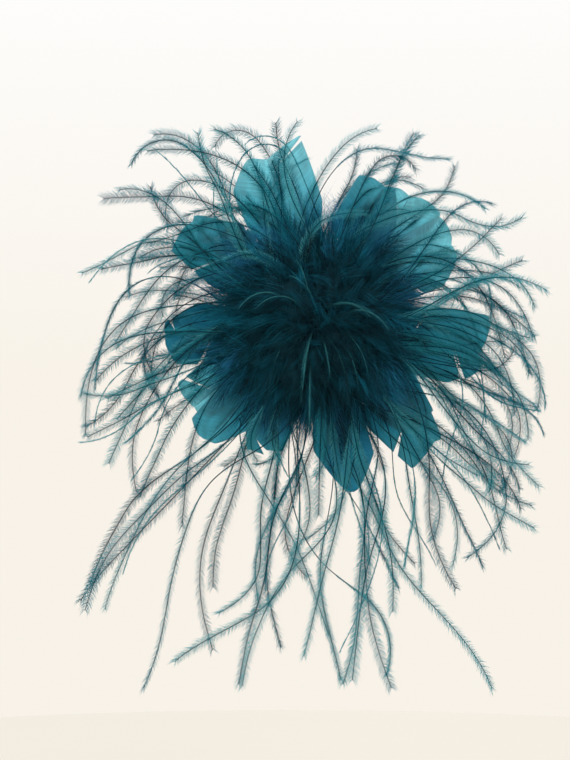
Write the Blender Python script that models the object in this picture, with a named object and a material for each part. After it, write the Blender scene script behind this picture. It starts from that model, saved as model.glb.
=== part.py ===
# Feather flower brooch: long ostrich sprays and goose petals round a marabou centre, bound on a stem,
# sewn to a stiffened felt back that carries a bar pin with a turning safety catch.
# The origin is the centre of the felt's back face, the face that lies on the garment.
# The flower faces -Y, the pin stands out towards +Y, and +Z is up. Sizes below are in millimetres.
import math

import bmesh
import bpy
from mathutils import Matrix, Vector

MM = 0.001
GAP = 0.3  # left between pieces that touch

# Felt back
FELT_RADIUS = 30.0
FELT_THICKNESS = 2.0
STIFFENER_RADIUS = 28.0
STIFFENER_THICKNESS = 1.0

# Bound stem
STEM_RADIUS = 7.5
FOOT_WIDTH = 2.5  # how far the glued foot spreads past the stem
FOOT_THICKNESS = 1.2
THREAD_RADIUS = 0.45
THREAD_TURNS = 5
THREAD_PITCH = 1.7

# Goose petals
PETALS_PER_RING = 7
PETAL_LENGTH = 107.0
PETAL_WIDTH = 54.0
PETAL_THICKNESS = 0.6
PETAL_CAMBER = 4.0
PETAL_RISE = 10.0
FIRST_PETAL_ANGLE = 99.4
RING_STEP = 8.0
QUILL_HALF_WIDTH = 1.2

# Ostrich sprays, from the one at +X anticlockwise
SPRAY_REACHES = (155, 166, 170, 180, 196, 176, 171, 170, 158, 170, 170, 173, 183, 175, 166, 160)
SPRAY_THICKNESS = 3.0
SPRAY_RISE = 12.0
SPRAY_FILL = 0.8  # share of its wedge that a spray fills
SPRAY_TIP_ANGLE = 1.2
DROOP_PER_MM = 0.0018

# Marabou tufts
TUFT_COUNT = 8
TUFT_RADIUS = 72.0
TUFT_ROOT = 2.0
TUFT_HEIGHT = 46.0
TUFT_EDGE = 2.0
TUFT_SIDE_SHARE = 0.6  # height of a tuft's side, as a share of its ridge

# Bar pin
BAR_LENGTH = 41.0
BAR_WIDTH = 5.0
BAR_THICKNESS = 0.8
BAR_Z = 10.0
STITCH_HOLE_RADIUS = 1.1
STITCH_THREAD_RADIUS = 0.3
STITCH_PLACES = (-10.0, 8.0)
WIRE_RADIUS = 0.45
WIRE_POINT = 4.0
WIRE_TIP_RADIUS = 0.1
FABRIC_GAP = 4.65  # clear height between bar and pin wire
HINGE_INSET = 2.5
EAR_THICKNESS = 0.6
EYE_THICKNESS = 1.4
EYE_WALL = 0.75
RIVET_RADIUS = 0.6
RIVET_HEAD_RADIUS = 1.2
RIVET_HEAD_THICKNESS = 0.5
SLEEVE_WALL = 0.9
SLEEVE_CLEARANCE = 0.45  # round the wire
SLEEVE_END = 1.5
HOUSING_WALL = 0.8
HOUSING_LENGTH = 5.0
HOUSING_SLOT_ANGLE = 30.0  # half of the slot, seen from the axis
HOUSING_INSET = 1.0
LEG_HALF_WIDTH = 1.0
LEVER_LENGTH = 2.4
LEVER_WIDTH = 1.2

# What follows from the sizes above. Heights run towards -Y, so they are subtracted from y.
FELT_FRONT = -FELT_THICKNESS
STIFFENER_BACK = FELT_FRONT - GAP
STIFFENER_FRONT = STIFFENER_BACK - STIFFENER_THICKNESS
FRONT_FELT_BACK = STIFFENER_FRONT - GAP
FRONT_FELT_FRONT = FRONT_FELT_BACK - FELT_THICKNESS
STEM_BACK = FRONT_FELT_FRONT - GAP
FOOT_FRONT = STEM_BACK - FOOT_THICKNESS
BACK_RING_Y = FOOT_FRONT - 1.9
FRONT_RING_Y = BACK_RING_Y - RING_STEP
THREAD_START = FRONT_RING_Y - PETAL_THICKNESS - THREAD_RADIUS - 1.4
THREAD_END = THREAD_START - THREAD_TURNS * THREAD_PITCH
SPRAY_Y = THREAD_END - THREAD_RADIUS - SPRAY_THICKNESS / 2 - 0.6
STEM_FRONT = SPRAY_Y - SPRAY_THICKNESS / 2 - 1.0
TUFT_Y = STEM_FRONT - 2.0
FEATHER_ROOT = STEM_RADIUS + GAP

BAR_BACK = GAP
BAR_FRONT = BAR_BACK + BAR_THICKNESS
WIRE_Y = BAR_FRONT + FABRIC_GAP + WIRE_RADIUS
HINGE_X = HINGE_INSET - BAR_LENGTH / 2
EYE_BORE = RIVET_RADIUS + GAP
EYE_RADIUS = EYE_BORE + EYE_WALL
EAR_INNER = EYE_THICKNESS / 2 + GAP
EAR_OUTER = EAR_INNER + EAR_THICKNESS
SLEEVE_BORE = WIRE_RADIUS + SLEEVE_CLEARANCE
SLEEVE_RADIUS = SLEEVE_BORE + SLEEVE_WALL
SLEEVE_SLOT = WIRE_RADIUS + GAP
HOUSING_BORE = SLEEVE_RADIUS + GAP
HOUSING_RADIUS = HOUSING_BORE + HOUSING_WALL
HOUSING_END = BAR_LENGTH / 2 - HOUSING_INSET
HOUSING_START = HOUSING_END - HOUSING_LENGTH
WIRE_END = HOUSING_END - GAP


def make_material(name, colour, roughness, metallic=0.0):
    material = bpy.data.materials.new(name)
    material.use_nodes = True
    shader = material.node_tree.nodes["Principled BSDF"]
    shader.inputs["Base Color"].default_value = (*colour, 1.0)
    shader.inputs["Roughness"].default_value = roughness
    shader.inputs["Metallic"].default_value = metallic
    return material


def add_object(name, bm, material, smooth_angle=35.0):
    """Turns a bmesh in millimetres into an object in metres."""
    bmesh.ops.scale(bm, vec=(MM, MM, MM), verts=bm.verts)
    bmesh.ops.recalc_face_normals(bm, faces=bm.faces)
    mesh = bpy.data.meshes.new(name)
    bm.to_mesh(mesh)
    bm.free()
    mesh.materials.append(material)
    mesh.shade_smooth()
    mesh.set_sharp_from_angle(angle=math.radians(smooth_angle))
    piece = bpy.data.objects.new(name, mesh)
    bpy.context.scene.collection.objects.link(piece)
    return piece


def turned(name, profile, material, axis="Y", segments=32):
    """Spins a profile of (radius, height) points, which starts and ends on the axis."""
    bm = bmesh.new()
    points = [bm.verts.new((radius, 0.0, height)) for radius, height in profile]
    edges = [bm.edges.new(pair) for pair in zip(points, points[1:])]
    bmesh.ops.spin(
        bm,
        geom=points + edges,
        cent=(0, 0, 0),
        axis=(0, 0, 1),
        angle=math.tau,
        steps=segments,
        use_merge=True,
    )
    bmesh.ops.remove_doubles(bm, verts=bm.verts, dist=1e-4)
    if axis == "Y":
        bmesh.ops.rotate(bm, cent=(0, 0, 0), matrix=Matrix.Rotation(-math.pi / 2, 3, "X"), verts=bm.verts)
    return add_object(name, bm, material)


def extruded(name, outline, start, end, axis, material):
    """Extrudes an outline. It lies in YZ for axis X, in XZ for axis Y and in XY for axis Z."""
    place = {
        "X": lambda a, b, along: (along, a, b),
        "Y": lambda a, b, along: (a, along, b),
        "Z": lambda a, b, along: (a, b, along),
    }[axis]
    bm = bmesh.new()
    face = bm.faces.new([bm.verts.new(place(a, b, start)) for a, b in outline])
    lifted = bmesh.ops.extrude_face_region(bm, geom=[face])
    top = [item for item in lifted["geom"] if isinstance(item, bmesh.types.BMVert)]
    bmesh.ops.translate(bm, vec=Vector(place(0, 0, end)) - Vector(place(0, 0, start)), verts=top)
    return add_object(name, bm, material)


def lofted(name, sections, material):
    """Joins closed sections of equally many points, and caps both ends."""
    bm = bmesh.new()
    rings = [[bm.verts.new(point) for point in section] for section in sections]
    for ring, following in zip(rings, rings[1:]):
        for i in range(len(ring)):
            j = (i + 1) % len(ring)
            bm.faces.new((ring[i], ring[j], following[j], following[i]))
    bm.faces.new(reversed(rings[0]))
    bm.faces.new(rings[-1])
    return add_object(name, bm, material)


def tube(name, points, radius, material, sides=8):
    """A round thread along a line of points in millimetres, with filled ends."""
    curve = bpy.data.curves.new(name, "CURVE")
    curve.dimensions = "3D"
    curve.bevel_depth = radius * MM
    curve.bevel_resolution = (sides - 4) // 2
    curve.use_fill_caps = True
    spline = curve.splines.new("POLY")
    spline.points.add(len(points) - 1)
    for spot, point in zip(spline.points, points):
        spot.co = (*(Vector(point) * MM), 1.0)
    curve.materials.append(material)
    piece = bpy.data.objects.new(name, curve)
    bpy.context.scene.collection.objects.link(piece)
    return piece


def arc(radius, start, end, steps, centre=(0.0, 0.0)):
    """Points along an arc, with angles in degrees."""
    angles = [math.radians(start + (end - start) * i / steps) for i in range(steps + 1)]
    return [(centre[0] + radius * math.cos(a), centre[1] + radius * math.sin(a)) for a in angles]


def cut_or_join(piece, tool, operation):
    """Applies another object to a piece by a Boolean, and keeps that object as a hidden guide."""
    modifier = piece.modifiers.new(f"{operation.lower()}_{tool.name}", "BOOLEAN")
    modifier.operation = operation
    modifier.object = tool
    modifier.solver = "EXACT"
    tool.hide_render = True
    tool.display_type = "WIRE"
    tool.parent = piece


def turned_ring(name, bore, radius, thickness, material):
    """A flat ring about Z, centred on the origin."""
    half = thickness / 2
    bm = bmesh.new()
    corners = [(bore, -half), (radius, -half), (radius, half), (bore, half)]
    points = [bm.verts.new((r, 0.0, z)) for r, z in corners]
    edges = [bm.edges.new((points[i], points[(i + 1) % 4])) for i in range(4)]
    bmesh.ops.spin(
        bm, geom=points + edges, cent=(0, 0, 0), axis=(0, 0, 1), angle=math.tau, steps=24, use_merge=True
    )
    bmesh.ops.remove_doubles(bm, verts=bm.verts, dist=1e-4)
    return add_object(name, bm, material)


def make_felt_back(felt, buckram):
    discs = (
        ("backing_felt", FELT_RADIUS, 0.0, FELT_FRONT, felt),
        ("stiffener_disc", STIFFENER_RADIUS, STIFFENER_BACK, STIFFENER_FRONT, buckram),
        ("front_felt", FELT_RADIUS, FRONT_FELT_BACK, FRONT_FELT_FRONT, felt),
    )
    for name, radius, back, front, material in discs:
        outline = arc(radius, 0, 360 - 360 / 48, 47)
        extruded(name, outline, front, back, "Y", material)


def make_stem(quill, thread):
    foot = STEM_RADIUS + FOOT_WIDTH
    chamfer = 1.0
    profile = [
        (0.0, STEM_BACK),
        (foot, STEM_BACK),
        (foot, FOOT_FRONT),
        (STEM_RADIUS, FOOT_FRONT),
        (STEM_RADIUS, STEM_FRONT + chamfer),
        (STEM_RADIUS - chamfer, STEM_FRONT),
        (0.0, STEM_FRONT),
    ]
    turned("bound_stems", profile, quill)

    steps_per_turn = 20
    radius = STEM_RADIUS + GAP + THREAD_RADIUS
    points = []
    for i in range(THREAD_TURNS * steps_per_turn + 1):
        turn = i / steps_per_turn
        angle = math.tau * turn
        depth = THREAD_START - THREAD_PITCH * turn
        points.append((radius * math.cos(angle), depth, radius * math.sin(angle)))
    tube("binding_thread", points, THREAD_RADIUS, thread, sides=6)


def petal_half_width(share):
    """Narrow at the quill, widest past the middle, blunt at the tip."""
    spread = max(math.sin(math.pi * share**1.6), 0.0) ** 0.7
    return QUILL_HALF_WIDTH + (PETAL_WIDTH / 2 - QUILL_HALF_WIDTH) * spread


def make_petal(name, angle, ring_y, material):
    stations = 12
    across = 4
    tip_share = 0.985  # stops the grid short of the pointed end
    bm = bmesh.new()
    rows = []
    for i in range(stations + 1):
        share = tip_share * i / stations
        half_width = petal_half_width(share)
        row = []
        for j in range(across + 1):
            side = 2 * j / across - 1
            camber = PETAL_CAMBER * (side * half_width / (PETAL_WIDTH / 2)) ** 2
            height = PETAL_RISE * share**2 - camber
            along = FEATHER_ROOT + PETAL_LENGTH * share
            row.append(bm.verts.new((along, ring_y - height, side * half_width)))
        rows.append(row)
    for row, following in zip(rows, rows[1:]):
        for j in range(across):
            bm.faces.new((row[j], row[j + 1], following[j + 1], following[j]))
    swing = Matrix.Rotation(-math.radians(angle), 3, "Y")
    bmesh.ops.rotate(bm, cent=(0, 0, 0), matrix=swing, verts=bm.verts)
    petal = add_object(name, bm, material)
    skin = petal.modifiers.new("vane_thickness", "SOLIDIFY")
    skin.thickness = PETAL_THICKNESS * MM
    skin.offset = 0.0
    return petal


def make_petals(material):
    step = 360 / PETALS_PER_RING
    for i in range(PETALS_PER_RING):
        angle = FIRST_PETAL_ANGLE + i * step
        make_petal(f"goose_petal_back_{i + 1}", angle, BACK_RING_Y, material)
        make_petal(f"goose_petal_front_{i + 1}", angle - step / 2, FRONT_RING_Y, material)


def drooped(radius, angle, y):
    """A point at a radius and angle in degrees, which hangs lower the further out it is."""
    a = math.radians(angle)
    return (radius * math.cos(a), y, radius * math.sin(a) - DROOP_PER_MM * radius**2)


def make_sprays(material):
    stations = 14
    wedge = 180 / len(SPRAY_REACHES)
    full = wedge * SPRAY_FILL
    taper_start = 0.55
    for number, reach in enumerate(SPRAY_REACHES):
        angle = number * 2 * wedge
        sections = []
        for i in range(stations + 1):
            share = i / stations
            radius = FEATHER_ROOT + (reach - FEATHER_ROOT) * share
            fall = max(0.0, (share - taper_start) / (1 - taper_start))
            half = SPRAY_TIP_ANGLE + (full - SPRAY_TIP_ANGLE) * math.cos(fall * math.pi / 2)
            middle = SPRAY_Y - SPRAY_RISE * math.sin(0.8 * math.pi * radius / reach)
            lift = SPRAY_THICKNESS / 2 * (1 - 0.5 * fall)
            sections.append([
                drooped(radius, angle - half, middle),
                drooped(radius, angle - half / 2, middle - lift),
                drooped(radius, angle + half / 2, middle - lift),
                drooped(radius, angle + half, middle),
                drooped(radius, angle + half / 2, middle + lift),
                drooped(radius, angle - half / 2, middle + lift),
            ])
        lofted(f"ostrich_spray_{number + 1:02}", sections, material)


def make_tufts(material):
    stations = 10
    wedge = math.pi / TUFT_COUNT
    round_from = 0.6 * TUFT_RADIUS  # past this radius the lobe rounds off
    widest = round_from * math.tan(wedge) - GAP
    for number in range(TUFT_COUNT):
        turn = Matrix.Rotation(-2 * wedge * (number + 0.5), 3, "Y")
        sections = []
        for i in range(stations + 1):
            radius = TUFT_ROOT + (TUFT_RADIUS - TUFT_ROOT) * i / stations
            past = max(0.0, (radius - round_from) / (TUFT_RADIUS + TUFT_EDGE - round_from))
            half = min(radius * math.tan(wedge) - GAP, widest) * math.sqrt(1 - past**2)
            under = TUFT_Y - SPRAY_RISE * math.sin(math.pi / 2 * radius / TUFT_RADIUS)
            ridge = TUFT_EDGE + TUFT_HEIGHT * math.sqrt(max(0.0, 1 - (radius / TUFT_RADIUS) ** 2))
            side = ridge * TUFT_SIDE_SHARE
            shoulder = (ridge * 2 + side) / 3
            outline = (
                (half, 0.0),
                (half, side),
                (half / 2, shoulder),
                (0.0, ridge),
                (-half / 2, shoulder),
                (-half, side),
                (-half, 0.0),
            )
            sections.append([turn @ Vector((radius, under - height, z)) for z, height in outline])
        lofted(f"marabou_tuft_{number + 1}", sections, material)


def rounded_bar():
    """The bar's outline in XZ, with its corners rounded."""
    corner = 1.2
    x = BAR_LENGTH / 2 - corner
    z = BAR_WIDTH / 2 - corner
    return (
        arc(corner, 0, 90, 4, (x, BAR_Z + z))
        + arc(corner, 90, 180, 4, (-x, BAR_Z + z))
        + arc(corner, 180, 270, 4, (-x, BAR_Z - z))
        + arc(corner, 270, 360, 4, (x, BAR_Z - z))
    )


def make_bar(steel):
    sunk = BAR_BACK + BAR_THICKNESS / 2  # where the ears and the leg start, inside the bar
    bar = extruded("pin_bar", rounded_bar(), BAR_BACK, BAR_FRONT, "Y", steel)

    ear_outline = [(HINGE_X - EYE_RADIUS, sunk), (HINGE_X + EYE_RADIUS, sunk)]
    ear_outline += arc(EYE_RADIUS, 0, 180, 12, (HINGE_X, WIRE_Y))
    for number, (inner, outer) in enumerate(((EAR_INNER, EAR_OUTER), (-EAR_OUTER, -EAR_INNER))):
        ear = extruded(f"ear_guide_{number + 1}", ear_outline, BAR_Z + inner, BAR_Z + outer, "Z", steel)
        cut_or_join(bar, ear, "UNION")

    # The housing's outline starts beside its slot, which faces +Y, and goes round by the leg.
    slot = HOUSING_SLOT_ANGLE
    leg = math.degrees(math.asin(LEG_HALF_WIDTH / HOUSING_RADIUS))
    centre = (WIRE_Y, BAR_Z)
    outline = arc(HOUSING_RADIUS, slot, 180 - leg, 10, centre)
    outline += [(sunk, BAR_Z + LEG_HALF_WIDTH), (sunk, BAR_Z - LEG_HALF_WIDTH)]
    outline += arc(HOUSING_RADIUS, 180 + leg, 360 - slot, 10, centre)
    outline += arc(HOUSING_BORE, 360 - slot, slot, 22, centre)
    housing = extruded("housing_guide", outline, HOUSING_START, HOUSING_END, "X", steel)
    cut_or_join(bar, housing, "UNION")

    bore = arc(EYE_BORE, 0, 345, 23, (HINGE_X, WIRE_Y))
    cutter = extruded("rivet_bore_cutter", bore, BAR_Z - EAR_OUTER - 1, BAR_Z + EAR_OUTER + 1, "Z", steel)
    cut_or_join(bar, cutter, "DIFFERENCE")
    for number, x in enumerate(STITCH_PLACES):
        hole = arc(STITCH_HOLE_RADIUS, 0, 345, 23, (x, BAR_Z))
        cutter = extruded(f"stitch_hole_cutter_{number + 1}", hole, BAR_BACK - 1, BAR_FRONT + 1, "Y", steel)
        cut_or_join(bar, cutter, "DIFFERENCE")


def make_stitches(thread):
    """Each stitch comes out of the felt beside the bar, crosses its edge and goes down through a hole."""
    low = BAR_BACK + STITCH_THREAD_RADIUS
    high = BAR_FRONT + GAP + STITCH_THREAD_RADIUS
    outer = BAR_WIDTH / 2 + GAP + STITCH_THREAD_RADIUS
    inner = STITCH_THREAD_RADIUS + GAP / 2
    bend = 0.35
    number = 0
    for x in STITCH_PLACES:
        for side in (1, -1):
            number += 1
            route = (
                (outer, low - STITCH_THREAD_RADIUS),
                (outer, high - bend),
                (outer - bend, high),
                (inner + bend, high),
                (inner, high - bend),
                (inner, low - STITCH_THREAD_RADIUS),
            )
            points = [(x, y, BAR_Z + side * z) for z, y in route]
            tube(f"bar_stitch_{number}", points, STITCH_THREAD_RADIUS, thread)


def make_rivet(steel):
    half = EAR_OUTER + GAP
    profile = [
        (0.0, -half - RIVET_HEAD_THICKNESS),
        (RIVET_HEAD_RADIUS, -half - RIVET_HEAD_THICKNESS),
        (RIVET_HEAD_RADIUS, -half),
        (RIVET_RADIUS, -half),
        (RIVET_RADIUS, half),
        (RIVET_HEAD_RADIUS, half),
        (RIVET_HEAD_RADIUS, half + RIVET_HEAD_THICKNESS),
        (0.0, half + RIVET_HEAD_THICKNESS),
    ]
    rivet = turned("hinge_rivet", profile, steel, axis="Z", segments=20)
    rivet.location = Vector((HINGE_X, WIRE_Y, BAR_Z)) * MM


def make_pin_stem(steel):
    """An eye on the hinge axis with a pointed wire. Its origin is on that axis."""
    ring = turned_ring("pin_stem", EYE_BORE, EYE_RADIUS, EYE_THICKNESS, steel)
    ring.location = Vector((HINGE_X, WIRE_Y, BAR_Z)) * MM

    root = EYE_BORE + EYE_WALL / 2
    end = WIRE_END - HINGE_X
    profile = [
        (0.0, root),
        (WIRE_RADIUS, root),
        (WIRE_RADIUS, end - WIRE_POINT),
        (WIRE_TIP_RADIUS, end),
        (0.0, end),
    ]
    wire = turned("wire_guide", profile, steel, axis="Z", segments=12)
    wire.rotation_euler = (0.0, math.pi / 2, 0.0)
    cut_or_join(ring, wire, "UNION")


def make_sleeve(steel):
    """A slotted sleeve that turns in the housing.

    At rest its slot faces +Y, so that the wire can swing out.
    """
    start = HOUSING_START - GAP
    end = HOUSING_END + SLEEVE_END
    outer = math.degrees(math.asin(SLEEVE_SLOT / SLEEVE_RADIUS))
    inner = math.degrees(math.asin(SLEEVE_SLOT / SLEEVE_BORE))
    outline = arc(SLEEVE_RADIUS, outer, 360 - outer, 20)
    outline += arc(SLEEVE_BORE, 360 - inner, inner, 14)
    sleeve = extruded("catch_sleeve", outline, start, end, "X", steel)
    sleeve.location = Vector((0.0, WIRE_Y, BAR_Z)) * MM

    root = SLEEVE_BORE + SLEEVE_WALL / 2
    tip = SLEEVE_RADIUS + LEVER_LENGTH
    half = LEVER_WIDTH / 2
    lever_outline = [(-half, -root), (half, -root), (half, half - tip)]
    lever_outline += arc(half, 0, -180, 8, (0.0, half - tip))[1:]
    lever = extruded("lever_guide", lever_outline, HOUSING_END + GAP, end, "X", steel)
    cut_or_join(sleeve, lever, "UNION")


def main():
    for old in list(bpy.data.objects):
        bpy.data.objects.remove(old, do_unlink=True)
    felt = make_material("felt", (0.010, 0.055, 0.075), 0.95)
    buckram = make_material("buckram", (0.55, 0.52, 0.45), 0.9)
    quill = make_material("quill", (0.02, 0.10, 0.13), 0.6)
    thread = make_material("thread", (0.01, 0.07, 0.09), 0.7)
    goose = make_material("goose_feather", (0.06, 0.30, 0.38), 0.55)
    ostrich = make_material("ostrich_feather", (0.04, 0.17, 0.21), 0.7)
    marabou = make_material("marabou", (0.005, 0.03, 0.045), 0.85)
    steel = make_material("plated_steel", (0.62, 0.62, 0.60), 0.28, 1.0)

    make_felt_back(felt, buckram)
    make_stem(quill, thread)
    make_petals(goose)
    make_sprays(ostrich)
    make_tufts(marabou)
    make_bar(steel)
    make_stitches(thread)
    make_rivet(steel)
    make_pin_stem(steel)
    make_sleeve(steel)


main()
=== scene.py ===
import math

import bmesh
import bpy
import numpy as np
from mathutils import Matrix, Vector


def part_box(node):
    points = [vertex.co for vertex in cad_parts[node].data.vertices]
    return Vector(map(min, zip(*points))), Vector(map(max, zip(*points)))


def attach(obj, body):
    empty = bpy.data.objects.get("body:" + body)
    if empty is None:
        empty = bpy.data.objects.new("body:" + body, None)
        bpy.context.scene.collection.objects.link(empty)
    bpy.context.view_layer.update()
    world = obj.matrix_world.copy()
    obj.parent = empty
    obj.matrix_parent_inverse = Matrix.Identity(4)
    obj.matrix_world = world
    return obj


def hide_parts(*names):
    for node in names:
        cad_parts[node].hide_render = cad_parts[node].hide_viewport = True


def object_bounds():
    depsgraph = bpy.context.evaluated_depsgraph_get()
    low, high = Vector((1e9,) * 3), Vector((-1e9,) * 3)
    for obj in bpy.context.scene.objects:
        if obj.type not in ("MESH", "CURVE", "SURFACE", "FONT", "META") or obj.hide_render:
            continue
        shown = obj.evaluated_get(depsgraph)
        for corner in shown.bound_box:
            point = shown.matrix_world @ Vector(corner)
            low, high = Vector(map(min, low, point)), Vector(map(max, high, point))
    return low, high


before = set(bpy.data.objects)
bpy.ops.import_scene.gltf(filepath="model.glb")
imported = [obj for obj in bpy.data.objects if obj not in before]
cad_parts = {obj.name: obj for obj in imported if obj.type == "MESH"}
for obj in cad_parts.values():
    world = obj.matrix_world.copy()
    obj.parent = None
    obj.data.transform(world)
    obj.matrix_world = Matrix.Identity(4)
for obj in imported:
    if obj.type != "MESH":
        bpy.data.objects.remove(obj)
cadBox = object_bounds()
print("frame loaded:", len(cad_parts), "nodes")

mm = 0.001  # shapes below are worked out in millimetres
body = "flower"


def boxOf(name):
    return tuple(np.array(corner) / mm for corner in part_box(name))


def nodesNamed(start):
    return sorted(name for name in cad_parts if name.startswith(start))


stemFront = boxOf("bound_stems")[0][1]  # y of the stem's front end
stemRadius = boxOf("binding_thread")[1][0]
lowest, highest = (np.array(corner) / mm for corner in cadBox)
flueRoot = 3  # mm that the flues start behind the stem's front end


# ---- small helpers for colour, nodes and meshes
def srgb(code):
    parts = [int(code[i:i + 2], 16) / 255 for i in (1, 3, 5)]
    return tuple(c / 12.92 if c <= 0.04045 else ((c + 0.055) / 1.055) ** 2.4 for c in parts) + (1.0,)


def addNode(tree, kind, settings=None, links=None):
    made = tree.nodes.new(kind)
    for key, value in (settings or {}).items():
        if key == "stops":
            elements = made.color_ramp.elements
            for stop, (place, colour) in zip((elements[0], elements[1]), (value[0], value[-1])):
                stop.position = place
                stop.color = srgb(colour)
            for place, colour in value[1:-1]:
                elements.new(place).color = srgb(colour)
        elif isinstance(key, str) and hasattr(made, key):
            setattr(made, key, value)
        else:
            made.inputs[key].default_value = value
    for key, source in (links or {}).items():
        tree.links.new(source, made.inputs[key])
    return made


def newMaterial(name):
    material = bpy.data.materials.new(name)
    material.use_nodes = True
    tree = material.node_tree
    tree.nodes.clear()
    return material, tree, addNode(tree, "ShaderNodeOutputMaterial")


def unit(vectors):
    return vectors / np.maximum(np.linalg.norm(vectors, axis=-1, keepdims=True), 1e-12)


def pathLength(path):
    return float(np.linalg.norm(np.diff(path, axis=0), axis=1).sum())


def sample(values, place):
    low = np.clip(place.astype(int), 0, len(values) - 2)
    part = (place - low)[:, None]
    return values[low] * (1 - part) + values[low + 1] * part


def newBunch():
    return {"points": [], "faces": [], "uvs": [], "count": 0}


def addTo(bunch, points, faces, uvs):
    bunch["points"].append(points)
    bunch["faces"].append(faces + bunch["count"])
    bunch["uvs"].append(uvs)
    bunch["count"] += len(points)


tintCount = 4  # a feather's u holds its tint, 0 to 3, and the place along it
barbLane = 0.25  # v below this is the shaft, above it a barb from root to tip
spikeTaper = 0.85  # a barb's thickness at its bend, as a share of that at its root


def addTube(bunch, path, radii, sides, tint, lane=barbLane, flatness=1.0):
    tangent = unit(np.gradient(path, axis=0))
    across = np.empty_like(path)
    across[0] = unit(np.cross(tangent[0], (0.31, 0.17, 0.93)))
    for i in range(1, len(path)):  # carries the first direction along, so that the tube doesn't twist
        carried = across[i - 1] - tangent[i] * np.dot(across[i - 1], tangent[i])
        across[i] = carried / max(np.linalg.norm(carried), 1e-9)
    up = np.cross(tangent, across) * flatness
    turn = np.arange(sides) * math.tau / sides
    ring = np.cos(turn)[None, :, None] * across[:, None] + np.sin(turn)[None, :, None] * up[:, None]
    points = (path[:, None] + ring * radii[:, None, None]).reshape(-1, 3)
    rows, columns = np.meshgrid(np.arange(len(path) - 1), np.arange(sides), indexing="ij")
    a = (rows * sides + columns).ravel()
    b = (rows * sides + (columns + 1) % sides).ravel()
    fan = np.arange(1, sides - 1)
    last = (len(path) - 1) * sides
    faces = np.concatenate([
        np.stack([a, b, b + sides], 1),
        np.stack([a, b + sides, a + sides], 1),
        np.stack([0 * fan, fan + 1, fan], 1),
        np.stack([0 * fan + last, fan + last, fan + 1 + last], 1),
    ])
    share = np.repeat(np.linspace(0.02, 0.98, len(path)), sides)
    uvs = np.stack([(tint + share) / tintCount, lane * (0.1 + 0.8 * np.tile(turn / math.tau, len(path)))], 1)
    addTo(bunch, points, faces, uvs)


def addSpikes(bunch, root, middle, tip, thick, u):
    # three-sided closed spikes with one bend
    aim = unit(tip - root)
    helper = np.where(np.abs(aim[:, 2:3]) > 0.8, [[1.0, 0.0, 0.0]], [[0.0, 0.0, 1.0]])
    across = unit(np.cross(aim, helper))
    up = np.cross(aim, across)
    points = np.empty((len(root), 7, 3))
    uvs = np.empty((len(root), 7, 2))
    for k in range(3):
        spin = math.tau * k / 3
        offset = (math.cos(spin) * across + math.sin(spin) * up) * thick[:, None]
        points[:, k] = root + offset
        points[:, 3 + k] = middle + offset * spikeTaper
        uvs[:, k, 0] = uvs[:, 3 + k, 0] = u + (k - 1) * 0.002  # no face has an empty place on the map
    points[:, 6] = tip
    uvs[:, 6, 0] = u
    uvs[:, :3, 1] = barbLane + 0.01
    uvs[:, 3:6, 1] = (barbLane + 1) / 2
    uvs[:, 6, 1] = 0.995
    pattern = [(0, 2, 1)]
    for k in range(3):
        after = (k + 1) % 3
        pattern += [(k, after, 3 + after), (k, 3 + after, 3 + k), (3 + k, 3 + after, 6)]
    faces = (np.array(pattern)[None] + 7 * np.arange(len(root))[:, None, None]).reshape(-1, 3)
    addTo(bunch, points.reshape(-1, 3), faces, uvs.reshape(-1, 2))


def growBarbs(bunch, path, look, tint, roll, rng):
    tangent = unit(np.gradient(path, axis=0))
    side = unit(np.cross(tangent, (0.0, -1.0, 0.0)) + 1e-5)
    front = np.cross(side, tangent)
    bare = look["bareShare"]
    fullFrom = 0.12  # share of the shaft over which the first barbs get longer
    length = pathLength(path)
    count = int((1 - bare) * length / look["spacing"])
    last = len(path) - 1
    clumps = max(int(length / look["clumpStep"]), 1)
    for sign in (1, -1):
        share = bare + (1 - bare) * (np.arange(count) + rng.uniform(0, 0.7, count)) / count
        growth = np.clip((share - bare) / fullFrom, 0.25, 1) * (1 - look["tipFall"] * share**6)
        reach = look["length"] * growth * rng.uniform(0.75, 1.15, count)
        # barbs lean to the middle of their clump
        centre = np.clip((np.floor(share * clumps) + 0.5) / clumps, 0, 1)
        at, clumpAt = sample(path, share * last), sample(path, centre * last)
        t, s, f = (sample(v, share * last) for v in (tangent, side, front))
        turn = roll + look["twist"] * share + rng.normal(0, look["scatter"], count)
        away = sign * (np.cos(turn)[:, None] * s + np.sin(turn)[:, None] * f)
        closing = 0.35 * share**60  # only the last barbs close round the tip
        degrees = look["lean"] * (1 - closing) + rng.normal(0, look["leanScatter"], count)
        lean = np.radians(degrees)[:, None]
        later = lean - math.radians(look["curl"])
        middle = at + 0.5 * reach[:, None] * unit(np.cos(lean) * t + np.sin(lean) * away)
        drop = np.array([0, 0, -look["droop"]])
        tip = middle + 0.5 * reach[:, None] * unit(np.cos(later) * t + np.sin(later) * away + drop)
        pull = look["clump"] * (clumpAt - at)
        thick = look["thick"] * rng.uniform(0.8, 1.2, count)
        u = (tint + 0.02 + 0.96 * share) / tintCount
        addSpikes(bunch, at, middle + pull * 0.4, tip + pull, thick, u)


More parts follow.
